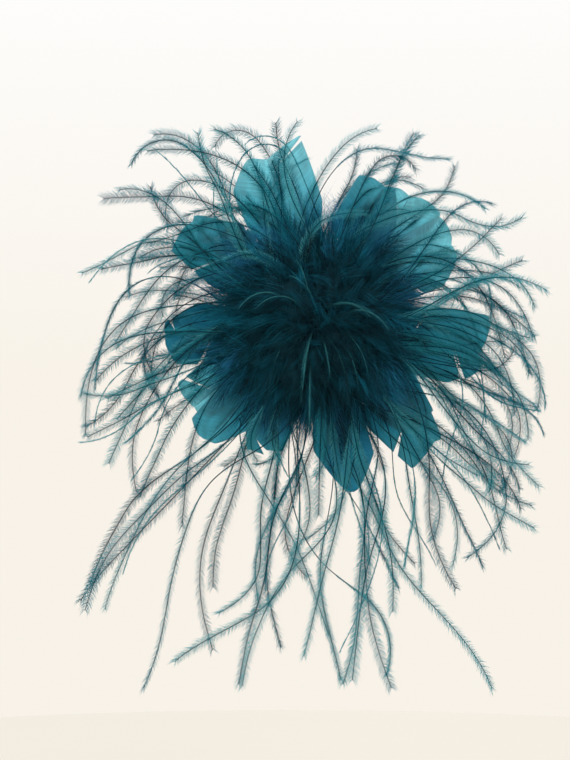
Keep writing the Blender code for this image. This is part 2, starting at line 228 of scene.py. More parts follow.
def buildPiece(name, bunch, materials, slot, *nodes, materialIndex=None):
    points = np.concatenate(bunch["points"]) * mm
    faces = np.concatenate(bunch["faces"]).astype(np.int32)
    uvs = np.concatenate(bunch["uvs"])
    mesh = bpy.data.meshes.new(name)
    mesh.vertices.add(len(points))
    mesh.vertices.foreach_set("co", points.astype(np.float32).ravel())
    mesh.loops.add(faces.size)
    mesh.loops.foreach_set("vertex_index", faces.ravel())
    mesh.polygons.add(len(faces))
    mesh.polygons.foreach_set("loop_start", np.arange(0, faces.size, 3, dtype=np.int32))
    mesh.uv_layers.new(name="OFBake").uv.foreach_set("vector", uvs[faces.ravel()].astype(np.float32).ravel())
    for material in materials:
        mesh.materials.append(material)
    if materialIndex is not None:
        mesh.polygons.foreach_set("material_index", materialIndex)
    mesh.update(calc_edges=True)
    mesh.shade_smooth()
    piece = bpy.data.objects.new(name, mesh)
    bpy.context.scene.collection.objects.link(piece)
    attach(piece, body)
    if nodes:
        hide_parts(*nodes)
    return piece


# ---- camera, light and floor
studio = {
    "eye": (-0.0195, -1.005, -0.036),
    "lens": 70,
    "floorZ": -1.6,  # far enough down to look at the flower from below
    "floorRadius": 6.0,
    "worldStrength": 1.0,
    "aim": (0, 0, -0.03),
    "lamps": {
        # place, width and watts
        "keyLight": ((-0.7, -0.9, 0.9), 0.9, 8.0),
        "fillLight": ((0.9, -0.8, 0.1), 0.8, 2.5),
        "backLight": ((0.2, 0.9, 0.7), 1.0, 7.0),
    },
}


def makeStudio():
    scene = bpy.context.scene
    cameraData = bpy.data.cameras.new("camera")
    cameraData.lens = studio["lens"]
    camera = bpy.data.objects.new("camera", cameraData)
    camera.location = studio["eye"]
    camera.rotation_euler = (math.pi / 2, 0, 0)
    scene.collection.objects.link(camera)
    scene.camera = camera
    scene.view_settings.view_transform = "Standard"

    world = bpy.data.worlds.new("studio")
    scene.world = world
    world.use_nodes = True
    tree = world.node_tree
    tree.nodes.clear()
    place = addNode(tree, "ShaderNodeTexCoord")
    axes = addNode(tree, "ShaderNodeSeparateXYZ", links={0: place.outputs["Generated"]})
    shade = addNode(
        tree,
        "ShaderNodeValToRGB",
        {"stops": ((0.0, "#f8f2e8"), (0.3, "#ffffff"))},
        {0: axes.outputs["Z"]},
    )
    sky = addNode(
        tree,
        "ShaderNodeBackground",
        {"Strength": studio["worldStrength"]},
        {"Color": shade.outputs["Color"]},
    )
    addNode(tree, "ShaderNodeOutputWorld", links={"Surface": sky.outputs[0]})

    aim = Vector(studio["aim"])
    for name, (spot, size, power) in studio["lamps"].items():
        lampData = bpy.data.lights.new(name, "AREA")
        lampData.size = size
        lampData.energy = power
        lamp = bpy.data.objects.new(name, lampData)
        lamp.location = spot
        lamp.rotation_euler = (aim - Vector(spot)).to_track_quat("-Z", "Y").to_euler()
        scene.collection.objects.link(lamp)

    # matt paper: no shine, only a pale warm ground
    material, tree, output = newMaterial("mattPaperFloor")
    grain = addNode(tree, "ShaderNodeTexNoise", {"Scale": 3.0, "Detail": 2.0})
    tone = addNode(
        tree,
        "ShaderNodeValToRGB",
        {"stops": ((0.3, "#f1eade"), (0.7, "#f5efe4"))},
        {0: grain.outputs["Fac"]},
    )
    paper = addNode(
        tree, "ShaderNodeBsdfPrincipled", {"Roughness": 0.95}, {"Base Color": tone.outputs["Color"]}
    )
    tree.links.new(paper.outputs[0], output.inputs["Surface"])
    bm = bmesh.new()
    bmesh.ops.create_circle(bm, cap_ends=True, radius=studio["floorRadius"], segments=96)
    mesh = bpy.data.meshes.new("floor")
    bm.to_mesh(mesh)
    bm.free()
    floor = bpy.data.objects.new("floor", mesh)
    floor.location.z = studio["floorZ"]
    mesh.materials.append(material)
    scene.collection.objects.link(floor)


makeStudio()
print("studio ready")


# ---- feather materials: each reads its feather's own map, u along it and v from shaft to barb tip
# shades holds shaft, barb and barb tip for each tint; glow is the share of light that goes through; the root
# colour is painted shade, mixed in near each feather's root
def makeFeatherMaterial(name, shades, rootPaintedShade, glow, roughness):
    material, tree, output = newMaterial(name)
    place = addNode(tree, "ShaderNodeUVMap", {"uv_map": "OFBake"})
    axes = addNode(tree, "ShaderNodeSeparateXYZ", links={0: place.outputs[0]})
    scaled = addNode(tree, "ShaderNodeMath", {"operation": "MULTIPLY", 1: tintCount}, {0: axes.outputs["X"]})
    along = addNode(tree, "ShaderNodeMath", {"operation": "FRACT"}, {0: scaled.outputs[0]})
    tint = addNode(tree, "ShaderNodeMath", {"operation": "FLOOR"}, {0: scaled.outputs[0]})
    colour = None
    for number, (shaft, barb, tipColour) in enumerate(shades):
        stops = ((0.0, shaft), (barbLane - 0.02, shaft), (barbLane + 0.02, barb), (1.0, tipColour))
        ramp = addNode(tree, "ShaderNodeValToRGB", {"stops": stops}, {0: axes.outputs["Y"]})
        if colour is None:
            colour = ramp.outputs["Color"]
            continue
        past = addNode(
            tree, "ShaderNodeMath", {"operation": "GREATER_THAN", 1: number - 0.5}, {0: tint.outputs[0]}
        )
        mixed = addNode(
            tree,
            "ShaderNodeMix",
            {"data_type": "RGBA"},
            {0: past.outputs[0], 6: colour, 7: ramp.outputs["Color"]},
        )
        colour = mixed.outputs[2]
    # darker near each feather's root: painted shade where the feathers run into the dense centre
    nearRoot = addNode(
        tree, "ShaderNodeMapRange", {"From Min": 0.02, "From Max": 0.32}, {"Value": along.outputs[0]}
    )
    deep = addNode(
        tree,
        "ShaderNodeMix",
        {"data_type": "RGBA", 6: srgb(rootPaintedShade)},
        {0: nearRoot.outputs["Result"], 7: colour},
    )
    soft = addNode(
        tree,
        "ShaderNodeBsdfPrincipled",
        {"Roughness": roughness, "Specular IOR Level": 0.12, "Sheen Weight": 0.02, "Sheen Roughness": 0.5},
        {"Base Color": deep.outputs[2]},
    )
    through = addNode(tree, "ShaderNodeBsdfTranslucent", links={"Color": deep.outputs[2]})
    both = addNode(tree, "ShaderNodeMixShader", {0: glow}, {1: soft.outputs[0], 2: through.outputs[0]})
    tree.links.new(both.outputs[0], output.inputs["Surface"])
    return material


# dyed ostrich flue: hair-fine matt barbs that let light through, on a darker smooth shaft
ostrichFlue = makeFeatherMaterial(
    "dyedOstrichFlue",
    (
        ("#063644", "#0b7186", "#2aa6ba"),
        ("#08414f", "#158c9f", "#45bdcc"),
        ("#0b4c5a", "#34a6b4", "#74d0d8"),
        ("#084e62", "#0f8cae", "#4fc2dc"),
    ),
    # painted shade near the root
    "#05303d",
    glow=0.4,
    roughness=0.6,
)
# dyed marabou down: silky barbs with a dull bloom, so dense that hardly any light gets out of it
marabouDown = makeFeatherMaterial(
    "dyedMarabouDown",
    (
        ("#04171e", "#052d38", "#0b4857"),
        ("#062a36", "#05495b", "#0a647a"),
        ("#0a4a60", "#0b6c86", "#1c8ca6"),
        ("#2f747c", "#186f9f", "#43a2cc"),
    ),
    # painted shade near the root
    "#04222b",
    glow=0.3,
    roughness=0.7,
)
print("feather materials ready")


# ---- ostrich sprays: flues grow from the stem and bend down under their own weight
ostrich = {
    "step": 1.6,
    "bundles": 4,  # flues of a spray leave it in bundles
    "longFlues": 7.2,  # for each spray, times its fullness
    # every 45 degrees, from the right and over the top
    "fullness": (1.6, 1.4, 0.9, 1.9, 1.0, 1.2, 0.9, 1.9, 1.7),
    "shortFlues": 3,
    "shortReach": (84, 125),
    "longShare": (0.72, 1.18),  # of the spray's reach
    "leastReach": 152,  # real flues are seldom shorter
    "spread": 0.13,  # radians between flues of one bundle
    "aside": 0.3,  # radians that a flue's first direction is off its place round the stem
    "forward": (4, 32),  # how far a flue comes forward before it falls back
    "fallBack": (4, 24),
    "droop": (0.0045, 0.0105),  # radians for each mm
    "droopScatter": (0.75, 1.3),
    "forwardScatter": (0.7, 1.2),
    "leastDroop": 0.25,  # a flue is stiff at its root
    "tipDroop": 2.3,  # and soft at its tip
    "sharpest": 0.034,  # radians for each mm, a bend of about 30 mm radius
    "upperDroop": 0.9,  # flues that start upwards bend over sooner
    "crossing": 0.2,  # share of the upper flues that arch over to the other side
    "archFrom": 2.0,  # radians from straight down; a flue above it keeps to the side it arches to
    "waviness": 0.0105,  # radians for each mm
    "waveLength": 40,
    "sway": 650,  # mm to the front or back at the tip, for each radian a mm of wave
    "rearmost": -4.0,  # y of the furthest that a shaft comes back
    "hookShare": 0.5,
    "hookDegrees": (25, 75),
    "hookFrom": 0.76,  # share of the flue
    "foremost": 0.5,  # share of the flue where it is furthest forward
    "fallFrom": 0.45,  # and where it starts to fall back
    "margin": 4.0,  # how far a shaft stays inside the frame's box
    "crest": 7.0,  # how far one may rise above it
    "tries": 14,
    "shaftRadius": 0.52,
    "tipRadius": 0.2,
    "rollScatter": 0.22,
    "looks": {
        "full": dict(
            length=6.6, spacing=0.40, bare=(0.28, 0.58), lean=58, curl=14, roll=0.15, twist=0.6, thick=0.12
        ),
        "soft": dict(
            length=6.0, spacing=0.46, bare=(0.26, 0.50), lean=54, curl=16, roll=0.35, twist=0.5, thick=0.105
        ),
        "brush": dict(
            length=5.2, spacing=0.34, bare=(0.5, 0.75), lean=48, curl=10, roll=0.3, twist=0.8, thick=0.12
        ),
        "thin": dict(
            length=3.4, spacing=0.55, bare=(0.3, 0.6), lean=38, curl=12, roll=1.35, twist=0.3, thick=0.13
        ),
    },
    "lookShares": {"full": 0.48, "soft": 0.26, "brush": 0.08, "thin": 0.18},
    "common": dict(tipFall=0.0, clumpStep=2.2, clump=0.45, scatter=0.24, leanScatter=5, droop=0.04),
}


def waveAt(waves, distance):
    return np.interp(distance / ostrich["waveLength"], range(len(waves)), waves)


def fromDown(heading):
    return (heading + 1.5 * math.pi) % math.tau - math.pi  # signed angle


def flueCourse(habit, angle, reach):
    step, waves = ostrich["step"], habit["waves"]
    hookFrom, fallFrom = ostrich["hookFrom"], ostrich["fallFrom"]
    count = int(reach / step)
    heading = angle + habit["aside"]
    arch = math.copysign(1, fromDown(heading)) * (-1 if habit["crosses"] else 1)
    spot = np.array([math.cos(angle), math.sin(angle)]) * stemRadius
    points = []
    for i in range(count):
        share = i / count
        off = fromDown(heading)
        side = arch if abs(off) > ostrich["archFrom"] else math.copysign(1, off)
        pull = max(abs(math.sin(off)), 0.8 * abs(off) / math.pi)  # the sine alone would let go near the top
        softness = ostrich["leastDroop"] + ostrich["tipDroop"] * share**1.7
        heading -= step * side * min(pull * habit["droop"] * softness, ostrich["sharpest"])
        heading += step * waveAt(waves, i * step)
        if share > hookFrom:
            heading += habit["hook"] / ((1 - hookFrom) * count)
        spot = spot + step * np.array([math.cos(heading), math.sin(heading)])
        rise = math.sin(min(share / ostrich["foremost"], 1) * math.pi / 2)
        fall = habit["back"] * max(0, share - fallFrom) / (1 - fallFrom)
        depth = stemFront + flueRoot - habit["forward"] * rise + fall
        depth = min(depth + ostrich["sway"] * share * waveAt(waves[::-1], i * step), ostrich["rearmost"])
        points.append((spot[0], depth, spot[1]))
    return np.array(points)


def fluePath(angle, reach, droop, forward, rng):
    upper = max(0, math.sin(angle))
    habit = {
        "droop": droop * (1 + ostrich["upperDroop"] * upper),
        "forward": forward,
        "aside": rng.normal(0, ostrich["aside"]),
        "back": rng.uniform(*ostrich["fallBack"]),
        "waves": rng.normal(0, ostrich["waviness"], 9),
        "hook": math.radians(rng.uniform(*ostrich["hookDegrees"])) * rng.choice((-1, 1)),
        "crosses": upper > 0.75 and rng.uniform() < ostrich["crossing"],
    }
    if rng.uniform() > ostrich["hookShare"]:
        habit["hook"] = 0.0
    room = ostrich["margin"]
    ceiling = highest + [-room, 0, ostrich["crest"]]
    # a flue that would leave the frame's box hangs a little more and is a little shorter
    for _ in range(ostrich["tries"]):
        path = flueCourse(habit, angle, reach)
        outside = (path < lowest + room).any() or (path[:, (0, 2)] > ceiling[[0, 2]]).any()
        if not outside:
            return path
        habit["droop"] *= 1.18
        reach *= 0.95
    return path


def growFlue(bunch, path, lookName, tint, rng):
    look = {**ostrich["common"], **ostrich["looks"][lookName]}
    look["bareShare"] = rng.uniform(*look["bare"])
    roll = look["roll"] + rng.normal(0, ostrich["rollScatter"])
    radii = np.linspace(ostrich["shaftRadius"], ostrich["tipRadius"], len(path)) * rng.uniform(0.85, 1.1)
    addTube(bunch, path, radii, 5, tint)
    growBarbs(bunch, path, look, tint, roll, rng)


def makeSprays():
    names = nodesNamed("ostrich_spray")
    rng = np.random.default_rng(11)
    lookNames, lookShares = list(ostrich["lookShares"]), list(ostrich["lookShares"].values())
    count, directions = ostrich["bundles"], ostrich["fullness"]
    total = 0
    for number, name in enumerate(names):
        bunch = newBunch()
        low, high = boxOf(name)
        reach = math.hypot(max(-low[0], high[0]), max(-low[2], high[2]))
        middle = math.tau * number / len(names)
        bundles = []
        for k in range(count):
            angle = middle + math.tau * (k + rng.uniform(0, 1) - count / 2) / count / len(names)
            bundles.append((angle, rng.uniform(*ostrich["droop"]), rng.uniform(*ostrich["forward"])))
        fullness = np.interp(middle / math.tau * (len(directions) - 1), range(len(directions)), directions)
        longFlues = round(ostrich["longFlues"] * fullness)
        for i in range(longFlues + ostrich["shortFlues"]):
            angle, droop, forward = bundles[i % count]
            angle += rng.normal(0, ostrich["spread"])
            if i < longFlues:
                length = max(reach, ostrich["leastReach"]) * rng.uniform(*ostrich["longShare"])
            else:
                length = rng.uniform(*ostrich["shortReach"])
            droop *= rng.uniform(*ostrich["droopScatter"])
            forward *= rng.uniform(*ostrich["forwardScatter"])
            path = fluePath(angle, length, droop, forward, rng)
            growFlue(bunch, path, rng.choice(lookNames, p=lookShares), int(rng.integers(0, 3)), rng)
            total += 1
        buildPiece(f"ostrichSpray{number + 1:02}", bunch, [ostrichFlue], "ostrich_feather", name)
    print("ostrich flues grown:", total)


makeSprays()


# ---- marabou centre: plumes and loose down over a dense dark bed, whose darkness is partly painted shade
marabou = {
    "bedRadius": 55,
    "bedHeight": 30,
    "domeRadius": 62,
    "domeHeight": 36,
    "plumesPerTuft": 15,
    "plumeReach": (40, 70),
    "plumeSteps": 22,
    "plumeLook": dict(
        length=15, spacing=0.75, bareShare=0.06, lean=34, curl=22, twist=1.6, tipFall=0.2, clumpStep=3.2,
        clump=0.6, scatter=0.7, leanScatter=9, droop=0.16, thick=0.12,
    ),
    "plumeShaft": 0.42,
    "strandsPerTuft": 2500,
    "clumpsPerTuft": 150,
    "wildness": 0.36,
    "middle": 1.15,  # radians off the front, inside which clumps and plumes lie every way
    "rootScatter": 6.0,
    "strandLength": (14, 33),
    "strandThick": 0.115,
    "veilPerTuft": 850,  # loose teal barbs that lie on the petals round the centre
    "veilClumps": 26,
    "veilAway": (34, 60),
    "veilLength": (18, 38),
    "ribsPerTuft": 2,
    "ribStep": 1.6,
    "ribSteps": (16, 34),
    "ribDroop": 0.085,
    "ribWidth": (0.4, 2.1),
    "ribLook": dict(
        length=7, spacing=0.6, bareShare=0.02, lean=40, curl=18, twist=1.0, tipFall=0.2, clumpStep=3.0,
        clump=0.5, scatter=0.6, leanScatter=9, droop=0.12, thick=0.11,
    ),
    "front": 94.0,  # nothing comes further forward than this
    "ribRoom": 3,  # a rib's shaft stays this far behind it, for its barbs
    "plumeRoom": 16,
}


def domeStrands(bunch, middleAngle, wedge, rng):
    count, clumpCount = marabou["strandsPerTuft"], marabou["clumpsPerTuft"]
    clumpTurn = middleAngle + wedge * rng.uniform(-0.5, 0.5, clumpCount)
    clumpOpen = np.arccos(rng.uniform(-0.05, 1, clumpCount))  # radians: 0 is forwards, 1.57 sideways
    clumpWild = rng.normal(0, marabou["wildness"], (clumpCount, 3))
    middleShare = 1 - np.clip(clumpOpen / marabou["middle"], 0, 1)
    clumpDrift = clumpTurn + rng.normal(0, 2.2, clumpCount) * middleShare
    clumpShift = rng.normal(0, marabou["rootScatter"], (clumpCount, 3)) * [1, 0.3, 1]
    rim = np.clip((clumpOpen - 0.75) / 0.6, 0, 1) + 0.3 * np.sin(clumpTurn)  # lighter to the rim, and painted light: lighter at the top, where the light falls
    clumpTint = (rng.uniform(0, 1, clumpCount) < 0.28 + 0.5 * rim).astype(int)
    clumpTint += (rng.uniform(0, 1, clumpCount) < 0.05 + 0.35 * rim).astype(int)
    member = rng.integers(0, clumpCount, count)
    turn = clumpTurn[member] + rng.normal(0, 0.05, count)
    opened = np.clip(clumpOpen[member] + rng.normal(0, 0.07, count), 0, 1.7)
    outward = np.stack([np.cos(turn), 0 * turn, np.sin(turn)], 1)
    ahead = np.array([[0.0, -1.0, 0.0]])
    normal = np.sin(opened)[:, None] * outward + np.cos(opened)[:, None] * ahead
    root = np.sin(opened)[:, None] * outward * marabou["domeRadius"] * 0.72
    root = root + np.cos(opened)[:, None] * ahead * marabou["domeHeight"] * 0.72
    root[:, 1] += stemFront - 2
    root = root + clumpShift[member]
    length = rng.uniform(*marabou["strandLength"], count)[:, None]
    wild = clumpWild[member]
    drift = clumpDrift[member] + rng.normal(0, 0.08, count)
    lying = np.stack([np.cos(drift), 0 * drift, np.sin(drift)], 1)
    first = unit(normal * 0.5 + lying * 0.6 + wild + [0, 0, -0.10])
    second = unit(first + lying * 0.4 + wild * 0.8 + [0, 0.12, -0.42])
    middle = root + first * length * 0.5
    tip = middle + second * length * 0.5
    meanTip = np.stack([np.bincount(member, tip[:, i], clumpCount) for i in range(3)], 1)
    meanTip /= np.maximum(np.bincount(member, minlength=clumpCount), 1)[:, None]
    tip = tip * 0.6 + meanTip[member] * 0.4
    for points in (middle, tip):
        points[:, 1] = np.maximum(points[:, 1], -marabou["front"])
    thick = marabou["strandThick"] * rng.uniform(0.7, 1.3, count)
    u = (clumpTint[member] + rng.uniform(0.3, 0.95, count)) / tintCount
    addSpikes(bunch, root, middle, tip, thick, u)


def veilStrands(bunch, middleAngle, wedge, rng):
    count, clumpCount = marabou["veilPerTuft"], marabou["veilClumps"]
    clumpTurn = middleAngle + wedge * rng.uniform(-0.5, 0.5, clumpCount)
    clumpAway = rng.uniform(*marabou["veilAway"], clumpCount)
    clumpWild = rng.normal(0, 0.25, (clumpCount, 3))
    clumpTint = rng.choice([1, 2, 3], clumpCount, p=[0.25, 0.33, 0.42])
    member = rng.integers(0, clumpCount, count)
    turn = clumpTurn[member] + rng.normal(0, 0.045, count)
    outward = np.stack([np.cos(turn), 0 * turn, np.sin(turn)], 1)
    root = outward * (clumpAway[member] + rng.normal(0, 4, count))[:, None]
    root[:, 1] = stemFront - rng.uniform(-2, 18, count)
    length = rng.uniform(*marabou["veilLength"], count)[:, None]
    wild = clumpWild[member] + rng.normal(0, 0.12, (count, 3))
    first = unit(outward + wild + [0, -0.12, 0])
    second = unit(first + wild * 0.8 + [0, 0.15, -0.3])
    middle = root + first * length * 0.5
    u = (clumpTint[member] + rng.uniform(0.4, 0.95, count)) / tintCount
    thick = marabou["strandThick"] * rng.uniform(0.6, 1.15, count)
    addSpikes(bunch, root, middle, middle + second * length * 0.5, thick, u)


def strippedRibs(bunch, middleAngle, wedge, rng):
    # old ribs that lie on the down, bend over and keep a few short barbs
    for _ in range(marabou["ribsPerTuft"]):
        angle = middleAngle + wedge * rng.uniform(-0.5, 0.5)
        outward = np.array([math.cos(angle), 0, math.sin(angle)])
        away = outward * rng.uniform(4, 24)
        spot = away + [0, stemFront - marabou["domeHeight"] * rng.uniform(0.75, 0.95), 0]
        heading = outward * rng.uniform(0.7, 1.3)
        heading = unit(heading + [rng.normal(0, 0.35), -0.5, rng.normal(0.15, 0.3)])
        points = [spot]
        for _ in range(int(rng.uniform(*marabou["ribSteps"]))):
            heading = unit(heading + [0, 0.05, -marabou["ribDroop"]])
            spot = spot + heading * marabou["ribStep"]
            points.append(spot)
        path = np.array(points)
        path[:, 1] = np.maximum(path[:, 1], marabou["ribRoom"] - marabou["front"])
        wide = rng.uniform(*marabou["ribWidth"])
        along = np.linspace(0, 1, len(path))
        radii = wide * (0.25 + 0.75 * np.sin(math.pi * (0.12 + 0.8 * along)))  # widest before the middle
        addTube(bunch, path, radii, 8, 3, flatness=0.3)
        growBarbs(bunch, path, marabou["ribLook"], 1, rng.uniform(0, math.pi), rng)


def plumes(bunch, middleAngle, wedge, rng):
    for _ in range(marabou["plumesPerTuft"]):
        angle = middleAngle + wedge * rng.uniform(-0.5, 0.5)
        opened = math.acos(rng.uniform(-0.08, 0.95))
        reach = rng.uniform(*marabou["plumeReach"]) * (0.62 + 0.38 * math.sin(opened))
        heading = np.array([
            math.sin(opened) * math.cos(angle), -math.cos(opened), math.sin(opened) * math.sin(angle)
        ])
        drift = angle + rng.normal(0, 2.0) * max(0, 1 - opened / marabou["middle"])
        spot = np.array([math.cos(angle), 0, math.sin(angle)]) * rng.uniform(2, 24) + [0, stemFront - 1, 0]
        outward = np.array([math.cos(drift), 0, math.sin(drift)])
        steps = marabou["plumeSteps"]
        sway = rng.normal(0, 0.005, 3)
        points = [spot]
        for _ in range(steps):
            heading = unit(heading + reach / steps * (outward * 0.012 + [0, 0.003, -0.009] + sway))
            spot = spot + heading * reach / steps
            points.append(spot)
        path = np.array(points)
        path[:, 1] = np.maximum(path[:, 1], marabou["plumeRoom"] - marabou["front"])
        tint = int(rng.choice([0, 1, 2, 3], p=[0.4, 0.35, 0.17, 0.08]))
        addTube(bunch, path, np.linspace(marabou["plumeShaft"], 0.12, len(path)), 4, tint)
        growBarbs(bunch, path, marabou["plumeLook"], tint, rng.uniform(0, math.pi), rng)


def makeBed(bunch, middleAngle, wedge, rng):
    # one closed lumpy wedge of the bed for each tuft, a little wider than its share
    rows, columns = 14, 10
    turn = middleAngle + wedge * np.linspace(-0.53, 0.53, columns + 1)
    opened = np.linspace(0.02, math.pi / 2, rows + 1)
    lumps = 1 + 0.06 * rng.normal(size=(rows + 1, columns + 1))
    outward = np.stack([np.cos(turn), 0 * turn, np.sin(turn)], 1)
    skin = np.sin(opened)[:, None, None] * outward[None] * marabou["bedRadius"] * lumps[:, :, None]
    skin[:, :, 1] = stemFront - 2 - np.cos(opened)[:, None] * marabou["bedHeight"] * lumps
    base = skin.copy()
    base[:, :, 1] = stemFront + 1
    points = np.concatenate([skin.reshape(-1, 3), base.reshape(-1, 3)])
    half = (rows + 1) * (columns + 1)
    quads = []
    for r in range(rows):
        for c in range(columns):
            a = r * (columns + 1) + c
            quads.append((a, a + 1, a + columns + 2, a + columns + 1))
            quads.append((half + a, half + a + columns + 1, half + a + columns + 2, half + a + 1))
    edge = [r * (columns + 1) for r in range(rows + 1)]
    edge += [rows * (columns + 1) + c for c in range(1, columns + 1)]
    edge += [r * (columns + 1) + columns for r in range(rows - 1, -1, -1)]
    edge += list(range(columns - 1, 0, -1))
    for a, b in zip(edge, edge[1:] + edge[:1]):
        quads.append((a, b, half + b, half + a))
    quads = np.array(quads)
    faces = np.concatenate([quads[:, [0, 1, 2]], quads[:, [0, 2, 3]]])
    # the bed takes the darkest tint and some of the darkening near the root: partly the down's own colour,
    # partly painted shade of the down deep in the tuft
    uvs = np.stack([rng.uniform(0.05, 0.12, len(points)), 0.4 + 0 * points[:, 0]], 1)
    addTo(bunch, points, faces, uvs)


def makeMarabou():
    names = nodesNamed("marabou_tuft")
    rng = np.random.default_rng(23)
    wedge = math.tau / len(names)
    for number, name in enumerate(names):
        low, high = boxOf(name)
        rough = math.atan2(low[2] + high[2], low[0] + high[0])
        # a box's middle leans off its tuft's middle line
        middleAngle = (math.floor(rough / wedge) + 0.5) * wedge
        bunch = newBunch()
        makeBed(bunch, middleAngle, wedge, rng)
        domeStrands(bunch, middleAngle, wedge, rng)
        veilStrands(bunch, middleAngle, wedge, rng)
        plumes(bunch, middleAngle, wedge, rng)
        strippedRibs(bunch, middleAngle, wedge, rng)
        buildPiece(f"marabouTuft{number + 1}", bunch, [marabouDown], "marabou", name)


makeMarabou()
print("marabou centre grown")


# ---- goose petals
def makeVaneMaterial(name, stops, glow):
    material, tree, output = newMaterial(name)
    place = addNode(tree, "ShaderNodeUVMap", {"uv_map": "OFBake"})
    axes = addNode(tree, "ShaderNodeSeparateXYZ", links={0: place.outputs[0]})
    # a barb keeps its u from the rib to the edge, so lines along v are barbs
    squeezed = addNode(tree, "ShaderNodeMath", {"operation": "MULTIPLY", 1: 0.03}, {0: axes.outputs["Y"]})
    lines = addNode(tree, "ShaderNodeCombineXYZ", links={"X": axes.outputs["X"], "Y": squeezed.outputs[0]})
    # about 107 mm of vane with barbs 1 mm apart: real ones are 0.4 mm apart, and would not show
    fine = addNode(
        tree,
        "ShaderNodeTexNoise",
        {"Scale": 105.0, "Detail": 3.0, "Roughness": 0.6},
        {"Vector": lines.outputs[0]},
    )
    patch = addNode(tree, "ShaderNodeTexNoise", {"Scale": 5.0, "Detail": 2.0}, {"Vector": place.outputs[0]})
    ramp = addNode(tree, "ShaderNodeValToRGB", {"stops": stops}, {0: axes.outputs["X"]})
    shift = addNode(
        tree,
        "ShaderNodeMapRange",
        {"From Min": 0.3, "From Max": 0.7, "To Min": 0.84, "To Max": 1.12},
        {"Value": fine.outputs["Fac"]},
    )
    cloud = addNode(
        tree,
        "ShaderNodeMapRange",
        {"From Min": 0.3, "From Max": 0.7, "To Min": 0.80, "To Max": 1.18},
        {"Value": patch.outputs["Fac"]},
    )
    level = addNode(
        tree,
        "ShaderNodeMath",
        {"operation": "MULTIPLY"},
        {0: shift.outputs["Result"], 1: cloud.outputs["Result"]},
    )
    colour = addNode(
        tree,
        "ShaderNodeMix",
        {"data_type": "RGBA", "blend_type": "MULTIPLY", 0: 1.0},
        {6: ramp.outputs["Color"], 7: level.outputs[0]},
    )
    bump = addNode(
        tree, "ShaderNodeBump", {"Strength": 0.25, "Distance": 0.0002}, {"Height": fine.outputs["Fac"]}
    )
    skin = addNode(
        tree,
        "ShaderNodeBsdfPrincipled",
        {"Roughness": 0.48, "Specular IOR Level": 0.3, "Sheen Weight": 0.1},
        {"Base Color": colour.outputs[2], "Normal": bump.outputs[0]},
    )
    through = addNode(tree, "ShaderNodeBsdfTranslucent", links={"Color": colour.outputs[2]})
    both = addNode(tree, "ShaderNodeMixShader", {0: glow}, {1: skin.outputs[0], 2: through.outputs[0]})
    tree.links.new(both.outputs[0], output.inputs["Surface"])
    return material


def makeQuillMaterial(name, stops):
    material, tree, output = newMaterial(name)
    place = addNode(tree, "ShaderNodeUVMap", {"uv_map": "OFBake"})
    axes = addNode(tree, "ShaderNodeSeparateXYZ", links={0: place.outputs[0]})
    ramp = addNode(tree, "ShaderNodeValToRGB", {"stops": stops}, {0: axes.outputs["X"]})
    shell = addNode(
        tree,
        "ShaderNodeBsdfPrincipled",
        {"Roughness": 0.35, "IOR": 1.54, "Specular IOR Level": 0.5},
        {"Base Color": ramp.outputs["Color"]},
    )
    tree.links.new(shell.outputs[0], output.inputs["Surface"])
    return material


# dyed goose rib: horn with a dull polish, which takes the dye darker than the vane
gooseQuill = makeQuillMaterial("dyedGooseQuill", ((0.0, "#0c3341"), (0.6, "#195a6d"), (1.0, "#3a8597")))
# dyed goose vane, stripped and steamed flat: smooth, thin, lets light through, with fine barb lines
vaneMaterials = {
    # the light copy is painted light: paler, as petals at the top look where light comes through a single
    # layer
    "light": makeVaneMaterial(
        "dyedGooseVanePaintedLight", ((0.0, "#16687e"), (0.4, "#5cbdce"), (1.0, "#a0e0e8")), glow=0.55
    ),
    "mid": makeVaneMaterial(
        "dyedGooseVaneMid", ((0.0, "#0a5268"), (0.45, "#2f9ab0"), (1.0, "#6cc4d2")), glow=0.55
    ),
    "deep": makeVaneMaterial(
        "dyedGooseVaneDeep", ((0.0, "#06465e"), (0.45, "#14809f"), (1.0, "#38a4bd")), glow=0.5
    ),
}

